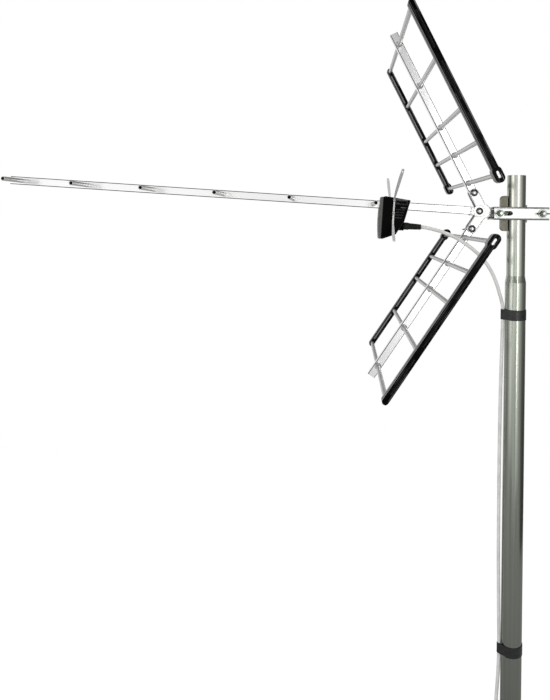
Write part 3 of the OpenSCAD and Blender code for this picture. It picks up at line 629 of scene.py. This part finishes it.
def make_cable():
    """Cable as one smooth tube through its points."""
    data = bpy.data.curves.new("coax", "CURVE")
    data.dimensions = "3D"
    data.resolution_u = 10
    data.bevel_depth = CABLE_D / 2 * MM
    data.bevel_resolution = 6
    data.use_fill_caps = True
    spline = data.splines.new("BEZIER")
    spline.bezier_points.add(len(CABLE_POINTS) - 1)
    route = [Vector(p) * MM for p in CABLE_POINTS]
    for i, point in enumerate(spline.bezier_points):
        after, before = route[min(i + 1, len(route) - 1)], route[max(i - 1, 0)]
        lean = (after - before) / 6   # handles of a third of the way to a neighbour
        point.handle_left_type = point.handle_right_type = "FREE"
        point.co = route[i]
        point.handle_left, point.handle_right = route[i] - lean, route[i] + lean
    cable = add_object("coax", data, MATERIALS["cable_jacket"])
    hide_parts("coax_cable")
    return cable


# Plug: tables of (radius, height) from the cable's end outwards
PLUG_SLEEVE = [(3.5, 0.2), (4.0, 0.5), (4.1, 3.2), (3.75, 3.6), (3.75, 4.4), (4.1, 4.8),
               (4.1, 7.2), (3.75, 7.6), (3.75, 8.4), (4.1, 8.8), (4.1, 13.2), (4.7, 13.6),
               (4.7, 14.3)]
PLUG_NUT = [(4.9, 14.4), (5.6, 15.0), (5.6, 21.6), (4.9, 22.2), (4.1, 22.2), (4.1, 17.0),
            (0.6, 17.0), (0.5, 25.8), (0.2, 26.2)]
HEX_FROM = 4.5                        # rings of the nut wider than this are six-sided
NUT_POINTS = 36
KNURLS = 28
KNURL = [(4.0, -0.16, 9.2), (4.35, 0.16, 12.8)]   # two corners of one knurl's box


def make_plug():
    """Screw-on coaxial plug: crimped sleeve, knurled neck, hexagonal nut and its pin."""
    end = Matrix.Translation(Vector(CABLE_POINTS[-1]) * MM)
    plug = Builder(end @ Matrix.Rotation(math.pi, 4, "X"))
    plug.lathe(metres(PLUG_SLEEVE), 40)
    for a in circle(KNURLS):
        plug.box(*metres(KNURL), Matrix.Rotation(a, 4, "Z"))
    points = []
    for r, h in metres(PLUG_NUT):
        for a in circle(NUT_POINTS):
            bend = a % (math.pi / 3) - math.pi / 6
            reach = r
            if r > HEX_FROM * MM:
                reach = r * math.cos(math.pi / 6) / math.cos(bend)
            points.append((reach * math.cos(a), reach * math.sin(a), h))
    rows = len(PLUG_NUT)
    plug.add(points, sheath(rows, NUT_POINTS) + caps(rows, NUT_POINTS)[1:])
    obj = plug.finish("plug", MATERIALS["plug_metal"], "plug_metal", 28)
    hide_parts("coax_plug")
    return obj


cable = make_cable()
plug = make_plug()


# Boot: where it starts on the box, and tables of (radius, height)
BOOT_AT = (149.8, 0, -38)
BOOT_GRIP = [(6.2, 0.0), (6.9, 0.3), (7.0, 1.0), (7.0, 8.2), (6.7, 8.9), (6.3, 9.4)]
BOOT_END = [(5.35, 31.0), (5.3, 32.3), (5.0, 32.9), (4.2, 33.0), (3.9, 32.4), (3.75, 30.0)]
BOOT_BORE = [(3.75, 1.0), (3.9, 0.0)]
RING_STEP, RING_SHRINK = 2.7, 0.115   # from ring to ring
RING_WIDTH, GROOVE_FROM, GROOVE_TO, GROOVE_DEPTH = 1.4, 1.7, 2.3, 0.45
RINGS_END = 28.5


def make_boot():
    """Rubber boot: thick grip at the box, then a taper with moulded rings."""
    place = (BOOM @ Matrix.Translation(Vector(BOOT_AT) * MM)
             @ Matrix.Rotation(-math.pi / 2, 4, "Y"))
    profile = list(BOOT_GRIP)
    r, h = BOOT_GRIP[-1]
    while h < RINGS_END:
        profile += [(r, h), (r, h + RING_WIDTH), (r - GROOVE_DEPTH, h + GROOVE_FROM),
                    (r - GROOVE_DEPTH, h + GROOVE_TO)]
        h, r = h + RING_STEP, r - RING_SHRINK
    boot = Builder(place)
    boot.lathe(metres(profile + BOOT_END + BOOT_BORE), 40, closed=True)
    obj = boot.finish("boot", MATERIALS["boot_rubber"], "boot_rubber", 50)
    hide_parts("cable_boot")


make_boot()


# ---------------------------------------------------------------- wound tape
TAPE_HALF = 9.4                       # half the width of the tape
TAPE_SHIFTS = (0.0, 0.7, -0.5)        # how far each turn lies above the tape's middle
TAPE_FIRST, TAPE_STEP = 0.25, 0.27    # depth of the first turn, and between the turns
TAPE_THICK, TAPE_EDGE = 0.26, 0.12
TAPE_WAVE, TAPE_PHASE = 0.25, 2.1     # how a turn wanders up and down
LOOSE_END = 0.72                      # share of the last turn that is wound
MAST_STEPS, CABLE_STEPS = 120, 24     # steps of a turn round the mast and the cable


def taped_loop(margin):
    """Points of the line round the mast and the cable beside it, in millimetres."""
    big, small = MAST_R + margin, CABLE_D / 2 + margin
    lean = math.acos(-(big - small) / TAPED_AT)
    loop = []
    for k in range(MAST_STEPS + 1):
        a = -lean + 2 * lean * k / MAST_STEPS
        loop.append((big * math.cos(a), big * math.sin(a)))
    for k in range(CABLE_STEPS + 1):
        a = lean + (2 * math.pi - 2 * lean) * k / CABLE_STEPS
        loop.append((-TAPED_AT + small * math.cos(a), small * math.sin(a)))
    return loop


def make_tape(name, node, z):
    """Turns of tape that wander a little, with the loose end's edge showing."""
    tape = Builder()
    for turn, shift in enumerate(TAPE_SHIFTS):
        loop = taped_loop(TAPE_FIRST + TAPE_STEP * turn)
        count = len(loop)
        whole = turn < len(TAPE_SHIFTS) - 1
        stop = count if whole else int(count * LOOSE_END)
        points = []
        for i, (x, y) in enumerate(loop[:stop]):
            wave = TAPE_WAVE * math.sin(4 * math.pi * i / count + TAPE_PHASE * turn)
            out = Vector((x, y)) * (1 + TAPE_THICK / max(1.0, math.hypot(x, y)))
            low, high = z - TAPE_HALF + shift + wave, z + TAPE_HALF + shift + wave
            points += metres([(x, y, low), (out.x, out.y, low + TAPE_EDGE),
                              (out.x, out.y, high - TAPE_EDGE), (x, y, high)])
        faces = []
        for i in range(count if whole else stop - 1):
            a, b = 4 * i, 4 * ((i + 1) % count)
            faces += [(a + k, b + k, b + k + 1, a + k + 1) for k in range(3)]
        if not whole:
            last = 4 * (stop - 1)
            faces += [(0, 1, 2, 3), (last + 3, last + 2, last + 1, last)]
        tape.add(points, faces)
    obj = tape.finish(name, MATERIALS["tape"], "tape", 50)
    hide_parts(node)


make_tape("wound_tape_upper", "tape_upper", 832.0)
make_tape("wound_tape_lower", "tape_lower", 190.0)


# ---------------------------------------------------------------- screws
SCREW_U, SCREW_W = 173, -2.5          # middle between the two screws of a side
SCREW_APART = 12                      # from that middle to each screw
SCREW_GAP = 0.05                      # between a head and the strip
SCREW_TURN = 0.3                      # each screw stopped at another angle
SCREW_HEAD = [(1.6, -6.0), (1.6, 0.0), (2.65, 0.0), (2.7, 0.35), (2.55, 0.95), (2.1, 1.3),
              (1.5, 1.45)]
CROSS_IN, CROSS_OUT = 0.42, 1.5       # radii between which the head stands beside the cross
CROSS_GAP = 0.22                      # angle that each side of a slot takes from a quarter
CROSS_HEIGHTS = (1.40, 1.60)


def cross_quarter(start):
    """Corners of one quarter of a screw's head, between two slots of its cross."""
    spots = ((CROSS_IN, start + math.pi / 4), (CROSS_OUT, start + CROSS_GAP),
             (CROSS_OUT, start + math.pi / 2 - CROSS_GAP))
    return [(r * math.cos(a), r * math.sin(a)) for r, a in spots]


def make_screws():
    """Pan-head screws with a cross recess, two on each side of the dipole box."""
    screws = Builder()
    for side in (-1, 1):
        for up in (-1, 1):
            at = Matrix.Translation(Vector((SCREW_U, side * (STRIP_FACE + SCREW_GAP),
                                            SCREW_W + up * SCREW_APART)) * MM)
            face = at @ Matrix.Rotation(-side * math.pi / 2, 4, "X")
            place = BOOM @ face @ Matrix.Rotation(0.5 + up * SCREW_TURN + side, 4, "Z")
            screws.lathe(metres(SCREW_HEAD), 28, place)
            for k in range(4):
                corners = cross_quarter(math.pi / 2 * k)
                points = [(x, y, h) for h in CROSS_HEIGHTS for x, y in corners]
                screws.add(metres(points), [(2, 1, 0), (3, 4, 5), (0, 1, 4, 3),
                                            (1, 2, 5, 4), (2, 0, 3, 5)], place)
    obj = screws.finish("cross_screws", MATERIALS["zinc_steel"], "zinc_steel", 35)
    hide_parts("dipole_screws")


make_screws()


# ---------------------------------------------------------------- dipole
FOOT_Y = 26.0                         # middle of a strip's thickness where it lies on the box
STRIP_T = 1.6
STRIP_SOFT = 0.3                      # rounding of a strip's long edges
# Line of a strip in Y and w, and its width: from the upper tip over the foot to the
# lower tip
STRIP_LINE = [(137.6, 59.5, 4.6), (118, 51.4, 5.8), (97, 42.8, 5.8), (76, 34.1, 5.4),
              (56, 26.0, 4.9), (40, 19.4, 4.0), (30, 15.3, 3.3), (27.2, 13.6, 3.1),
              (FOOT_Y, 10.5, 3.0), (FOOT_Y, 0, 3.0), (FOOT_Y, -15, 3.1), (FOOT_Y, -30.5, 3.3),
              (27.4, -34.2, 3.4), (30.6, -36.4, 3.6), (42, -42.6, 4.2), (58, -49.8, 5.0),
              (76, -56.0, 5.2), (98, -60.6, 5.4), (118, -63.2, 5.2), (136.8, -64.6, 4.2)]
STRIP_AT = {"near": 173.0, "far": 178.0}
# How far the upper and the lower tip lean along u
STRIP_LEAN = {"near": (-3.1, 4.3), "far": (-0.5, 2.0)}
LEAN_POWER = 1.5                      # how late the lean sets in
TIP_STEPS, TIP_TURN = 6, math.pi / 12   # sections of a round tip, and the angle between them
TIP_LEAST = 0.12                      # share of its width that a tip keeps at its end
SLOT_LEN, SLOT_WIDTH, SLOT_INSET = 8.0, 2.0, 4.2
SLOT_REACH = 3.0                      # how far the cutter stands out of the strip
STRIP_SHARP = 35                      # degrees from which a strip's edges are sharp


def carve(obj, cutter):
    """Cuts one closed mesh from another and removes the cutter."""
    cut = obj.modifiers.new("cut", "BOOLEAN")
    cut.operation, cut.object, cut.solver = "DIFFERENCE", cutter, "EXACT"
    graph = bpy.context.evaluated_depsgraph_get()
    mesh = bpy.data.meshes.new_from_object(obj.evaluated_get(graph))
    obj.modifiers.remove(cut)
    obj.data = mesh
    bpy.data.objects.remove(cutter)
    smooth_shading(mesh, STRIP_SHARP)


def make_strip(end, side):
    """Half of the dipole: a strip that widens to its round tips, with a slot near each."""
    foot_u, lean = STRIP_AT[end], STRIP_LEAN[end]
    line = [Vector((y, w)) for y, w, _ in STRIP_LINE]
    last = len(line) - 1

    def along_boom(y, w):
        share = max(0.0, abs(y) - FOOT_Y) / (STRIP_LINE[0][0] - FOOT_Y)
        return foot_u + lean[0 if w > 0 else 1] * share ** LEAN_POWER

    def point(u, at):
        return u * MM, side * at.x * MM, at.y * MM

    strip, rings = Builder(BOOM), []
    for i, (y, w, width) in enumerate(STRIP_LINE):
        ahead = (line[min(i + 1, last)] - line[max(i - 1, 0)]).normalized()
        across = Vector((-ahead.y, ahead.x))
        steps = [(0.0, 1.0)]          # way along the line, and share of the width
        if i in (0, last):
            way = -1 if i == 0 else 1
            steps = [(way * math.sin(k * TIP_TURN) * width / 2, math.cos(k * TIP_TURN))
                     for k in range(TIP_STEPS)]
        if i == 0:
            steps.reverse()
        for slide, share in steps:
            middle = line[i] + ahead * slide
            half, thick = width / 2 * max(share, TIP_LEAST), STRIP_T / 2
            soft = min(STRIP_SOFT, half * 0.5)
            corners = ((-half, -thick + STRIP_SOFT), (-half + soft, -thick),
                       (half - soft, -thick), (half, -thick + STRIP_SOFT),
                       (half, thick - STRIP_SOFT), (half - soft, thick),
                       (-half + soft, thick), (-half, thick - STRIP_SOFT))
            rings.append([point(along_boom(y, w) + du, middle + across * dn)
                          for du, dn in corners])
    strip.loft(rings)
    obj = strip.finish("strip_" + end, MATERIALS["strip_alloy"], "strip_alloy", STRIP_SHARP)

    slots = Builder(BOOM)
    for tip, before in ((line[0], line[1]), (line[-1], line[-2])):
        ahead = (tip - before).normalized()
        across = Vector((-ahead.y, ahead.x))
        layers = []
        for dn in (-SLOT_REACH, SLOT_REACH):
            ring = []
            for a in circle(24):
                run = SLOT_LEN / 2 - SLOT_WIDTH / 2
                along = SLOT_WIDTH / 2 * math.cos(a) + (run if math.cos(a) > 0 else -run)
                middle = tip - ahead * (SLOT_INSET + SLOT_LEN / 2 - along) + across * dn
                ring.append(point(along_boom(tip.x, tip.y) + SLOT_WIDTH / 2 * math.sin(a),
                                  middle))
            layers.append(ring)
        slots.loft(layers)
    carve(obj, slots.finish("slots", MATERIALS["strip_alloy"], "strip_alloy"))
    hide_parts("dipole_" + end)


make_strip("near", -1)
make_strip("far", 1)


# ---------------------------------------------------------------- wing nuts and threads
PLATE_OUT = 11.65                     # bracket's outer face from the boom's line
NUT_H = 8.0
BOLT_R = 3.0
ARM_BOLT_AT, BOOM_BOLT_AT = 40.0, 8.0
CLAMP_BOLT_X, CLAMP_NUT_Y = (-37.76, 43.0), -29.15
NUT_HUB = [(BOLT_R + 0.1, 0.3), (3.6, 0.0), (6.1, 0.0), (6.35, 0.35), (6.25, 1.3),
           (5.5, 2.6), (5.0, 5.0), (4.8, 7.3), (4.5, NUT_H), (3.6, NUT_H),
           (BOLT_R + 0.1, NUT_H - 0.5)]
# Sections of a wing: distance from the axis, lower and upper height, thickness
WING = [(3.2, 0.9, 7.2, 3.6), (5.0, 1.4, 7.9, 3.4), (6.6, 2.8, 9.2, 3.1),
        (8.2, 4.4, 11.2, 2.8), (9.8, 6.2, 13.0, 2.6), (11.0, 8.0, 13.9, 2.4),
        (12.0, 9.7, 13.9, 2.1), (12.6, 10.9, 13.3, 1.5), (12.9, 11.7, 12.5, 0.7)]
WING_POINTS, WING_ROUND = 20, 0.75    # a wing's sections are ovals, squarer below 1
THREAD_DEPTH, THREAD_PITCH = 0.32, 1.0
BRACKET_THREAD = (NUT_H - 0.9, 2.6)   # height above the nut's foot, and length
CLAMP_THREAD = (NUT_H - 0.7, 2.9)


def upright(at, side, angle):
    """Frame at a point: Z along Y on this side, and X turned in the X-Z plane."""
    x = Vector((math.cos(angle), 0, math.sin(angle)))
    z = Vector((0, side, 0))
    axes = Matrix((x, z.cross(x), z)).transposed().to_4x4()
    return Matrix.Translation(Vector(at) * MM) @ axes


def squarer(share):
    """Sine or cosine of a squarer oval."""
    return math.copysign(abs(share) ** WING_ROUND, share)


def add_wing_nut(piece, place):
    """Cast nut: a flared hub with a chamfered bore and two swept wings."""
    piece.lathe(metres(NUT_HUB), 36, place, closed=True)
    for way in (-1, 1):
        rings = []
        for reach, low, high, thick in WING:
            rings.append(metres(
                (way * reach, thick / 2 * squarer(math.cos(a)),
                 (low + high) / 2 + (high - low) / 2 * squarer(math.sin(a)))
                for a in circle(WING_POINTS)))
        piece.loft(rings, place)


def arm_bolt(sign):
    """Place of a bracket arm's bolt, in u and w."""
    turn = sign * PANEL_ANGLE
    return ARM_BOLT_AT * math.cos(turn), ARM_BOLT_AT * math.sin(turn)


def make_nuts():
    """Wing nuts behind the bracket and on the clamp, and the threads that pass them."""
    spots = [((BOOM_BOLT_AT, 0.0), 15), (arm_bolt(1), 59.5), (arm_bolt(-1), -14)]
    on_bracket = [BOOM @ upright((u, PLATE_OUT, w), 1, math.radians(angle))
                  for (u, w), angle in spots]
    on_clamp = [upright((x, CLAMP_NUT_Y, CLAMP_Z), -1, 0.0) for x in CLAMP_BOLT_X]
    threads = Builder()
    for group, places, (start, length) in (("bracket", on_bracket, BRACKET_THREAD),
                                           ("clamp", on_clamp, CLAMP_THREAD)):
        nuts = Builder()
        for place in places:
            add_wing_nut(nuts, place)
            threads.thread((BOLT_R - 0.1) * MM, THREAD_DEPTH * MM, THREAD_PITCH * MM,
                           start * MM, length * MM, place)
        obj = nuts.finish("wing_nuts_" + group, MATERIALS["zinc_steel"], "zinc_steel", 50)
        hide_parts(group + "_wing_nuts")
    threads.finish("bolt_threads", MATERIALS["zinc_steel"], "zinc_steel", 30)


make_nuts()


# ---------------------------------------------------------------- beads on the rods
BEAD = [(4.04, 0.05), (5.6, 0.05), (6.1, 0.5), (6.2, 2.0), (5.8, 3.3), (4.9, 4.3),
        (4.04, 4.7)]


def make_beads():
    """Swaged beads that keep each reflector rod in its square tube."""
    for side, sign in PANELS:
        beads = Builder(BOOM)
        for reach in ROD_PLACES:
            u, w = (reach * f(sign * PANEL_ANGLE) for f in (math.cos, math.sin))
            for way in (-1, 1):
                place = upright((u, way * PANEL_FACE, w), way, 0.0)
                beads.lathe(metres(BEAD), 32, place, closed=True)
        beads.finish("rod_beads_" + side, MATERIALS["alloy"], "alloy", 50)


make_beads()


# ---------------------------------------------------------------- bands on the plastics
BAND_AT = {"upper": (-3.9, -0.9), "lower": (-0.2, 3.0)}   # across each rail
BAND_GAP = 10.0                       # from a rod's line to the end of a band
BAND_SUNK, BAND_OUT = 0.3, 0.45       # depth of a band in the rail, and its height on it
# Grey inserts as painted highlights on each side of the box: two corners in u and w, and how
# far they stand out
HIGHLIGHT_INSERTS = [((147.5, 8.9), (169.4, 12.0), 0.5), ((163.4, 3.6), (168.2, 4.6), 1.0),
           ((150.2, -4.4), (160.0, -3.0), 1.3)]
INSERT_SUNK = 0.3


def make_rail_bands():
    """Smooth raised bands between the rods, on the rails' inner faces, grey as painted sheen.
    """
    for side, sign in PANELS:
        bands = Builder(panel_frame(sign))
        low, high = BAND_AT[side]
        for start, stop in zip(ROD_PLACES, ROD_PLACES[1:]):
            for way in (-1, 1):
                y0, y1 = sorted((way * (RAIL_INNER_Y + BAND_SUNK),
                                 way * (RAIL_INNER_Y - BAND_OUT)))
                bands.box(*metres([(start + BAND_GAP, y0, low), (stop - BAND_GAP, y1, high)]))
        bands.finish("rail_bands_" + side, MATERIALS["rail_sheen"], "rail_plastic",
                     bevel=0.25 * MM)


def make_clip_highlights():
    """Smooth grey inserts as painted highlights of the clip and the rolled upper edge, on both
    sides of the box.
    """
    clips = Builder(BOOM)
    for way in (-1, 1):
        for (u0, w0), (u1, w1), out in HIGHLIGHT_INSERTS:
            y0, y1 = sorted((way * (BOX_FACE - INSERT_SUNK), way * (BOX_FACE + out)))
            clips.box(*metres([(u0, y0, w0), (u1, y1, w1)]))
    clips.finish("clip_highlight_inserts", MATERIALS["clip_highlight_grey"], "box_plastic", bevel=0.3 * MM)


make_rail_bands()
make_clip_highlights()


# ---------------------------------------------------------------- world, floor and lamps
BACKDROP = 1.0
AMBIENT = 0.74
ROOM_PEAK = 2.0
FLOOR_TONE, FLOOR_GLOW = (0.42, 0.42, 0.42), 0.70
FLOOR_REACH = 1.25                    # half of its side
FLOOR_AT = (-0.45, 0, -0.0005)
# How bright the studio is in reflections: (degrees round from the camera's side
# towards +X, strength), and (sine of the height, factor)
ROOM_ROUND = [(-180, 1.0), (-150, 0.95), (-125, 0.62), (-105, 0.38), (-85, 0.6),
              (-68, 1.35), (-48, 1.35), (-36, 1.15), (-14, 1.15), (-8, 1.0), (0, 1.0),
              (6, 1.2), (10, 1.5), (30, 1.5), (36, 0.8), (54, 0.6), (74, 0.2),
              (130, 0.1), (152, 0.6), (162, 1.0), (180, 1.0)]
ROOM_HEIGHT = [(-1, 0.12), (-0.8, 0.12), (-0.6, 0.4), (-0.3, 0.55), (-0.2, 0.68), (-0.1, 1.0),
               (0.08, 1.0), (0.14, 0.72), (0.22, 0.46), (0.4, 0.3), (0.6, 0.16), (1, 0.12)]


def make_world():
    """White behind the object; the room's right side is darker in reflections."""
    world = bpy.data.worlds.new("studio")
    bpy.context.scene.world = world
    world.use_nodes = True
    tree = world.node_tree
    tree.nodes.clear()

    def new(kind, **settings):
        node = tree.nodes.new(kind)
        for key, value in settings.items():
            setattr(node, key, value)
        return node

    def ramp(fac, stops):
        node = new("ShaderNodeValToRGB")
        parts = node.color_ramp.elements
        while len(parts) < len(stops):
            parts.new(0.5)
        for part, (where, value) in zip(parts, stops):
            part.position, part.color = where, (value, value, value, 1)
        tree.links.new(fac, node.inputs["Fac"])
        return node.outputs["Color"]

    def math_node(operation, first, second):
        node = new("ShaderNodeMath", operation=operation)
        for socket, value in zip(node.inputs, (first, second)):
            if isinstance(value, (int, float)):
                socket.default_value = value
            else:
                tree.links.new(value, socket)
        return node.outputs[0]

    at = new("ShaderNodeTexCoord")
    axes = new("ShaderNodeSeparateXYZ")
    tree.links.new(at.outputs["Generated"], axes.inputs[0])
    x, y, z = (axes.outputs[k] for k in "XYZ")
    round_about = math_node("ARCTAN2", x, math_node("MULTIPLY", y, -1.0))
    turn = math_node("ADD", math_node("DIVIDE", round_about, 2 * math.pi), 0.5)
    about = ramp(turn, [(0.5 + a / 360, v / ROOM_PEAK) for a, v in ROOM_ROUND])
    rise = math_node("ADD", math_node("MULTIPLY", z, 0.5), 0.5)
    up = ramp(rise, [(0.5 + h / 2, v) for h, v in ROOM_HEIGHT])
    room = math_node("MULTIPLY", math_node("MULTIPLY", about, up), ROOM_PEAK)

    path = new("ShaderNodeLightPath")
    ambient, seen, mirrored = (new("ShaderNodeBackground") for _ in range(3))
    for background in (ambient, seen, mirrored):
        background.inputs["Color"].default_value = (1, 1, 1, 1)
    ambient.inputs["Strength"].default_value = AMBIENT
    seen.inputs["Strength"].default_value = BACKDROP
    tree.links.new(room, mirrored.inputs["Strength"])
    for_gloss = new("ShaderNodeMath", operation="MAXIMUM")
    tree.links.new(path.outputs["Is Glossy Ray"], for_gloss.inputs[0])
    tree.links.new(path.outputs["Is Transmission Ray"], for_gloss.inputs[1])
    first = new("ShaderNodeMixShader")
    tree.links.new(for_gloss.outputs[0], first.inputs[0])
    tree.links.new(ambient.outputs[0], first.inputs[1])
    tree.links.new(mirrored.outputs[0], first.inputs[2])
    second = new("ShaderNodeMixShader")
    tree.links.new(path.outputs["Is Camera Ray"], second.inputs[0])
    tree.links.new(first.outputs[0], second.inputs[1])
    tree.links.new(seen.outputs[0], second.inputs[2])
    out = new("ShaderNodeOutputWorld")
    tree.links.new(second.outputs[0], out.inputs["Surface"])


def make_floor():
    """Pale floor under the mast's foot: white to the camera, and it keeps the shadow."""
    n = Nodes("floor", Base_Color=FLOOR_TONE, Roughness=0.8)
    path = n.new("ShaderNodeLightPath")
    glow = n.new("ShaderNodeMath", operation="MULTIPLY")
    glow.inputs[1].default_value = FLOOR_GLOW
    n.link(path.outputs["Is Camera Ray"], glow.inputs[0])
    n.shader.inputs["Emission Color"].default_value = (1, 1, 1, 1)
    n.link(glow.outputs[0], n.shader.inputs["Emission Strength"])
    mesh = bpy.data.meshes.new("floor")
    r = FLOOR_REACH
    mesh.from_pydata([(-r, -r, 0), (r, -r, 0), (r, r, 0), (-r, r, 0)], [], [(0, 1, 2, 3)])
    floor = bpy.data.objects.new("floor", mesh)
    bpy.context.scene.collection.objects.link(floor)
    mesh.materials.append(n.material)
    floor.location = FLOOR_AT


# Each lamp: name, place, the point it shines at, width, height, power
LAMPS = [("strip", (0.45, -2.3, 1.1), (0.0, 0.0, 0.8), 0.24, 2.0, 6.5),
         ("fill", (-2.4, -1.5, 1.3), (-0.2, 0.0, 0.9), 0.7, 1.4, 3.5),
         ("top", (-0.3, -0.4, 3.0), (-0.3, 0.0, 0.9), 1.6, 1.0, 9)]


def make_lamp(name, at, aim, width, height, power):
    """Rectangular lamp that shines at a point."""
    data = bpy.data.lights.new(name, "AREA")
    data.shape, data.size, data.size_y, data.energy = "RECTANGLE", width, height, power
    obj = bpy.data.objects.new(name, data)
    bpy.context.scene.collection.objects.link(obj)
    obj.location = at
    obj.rotation_euler = (Vector(aim) - Vector(at)).to_track_quat("-Z", "Y").to_euler()


make_world()
make_floor()
for lamp in LAMPS:
    make_lamp(*lamp)

scene = bpy.context.scene
scene.view_settings.view_transform = "Standard"
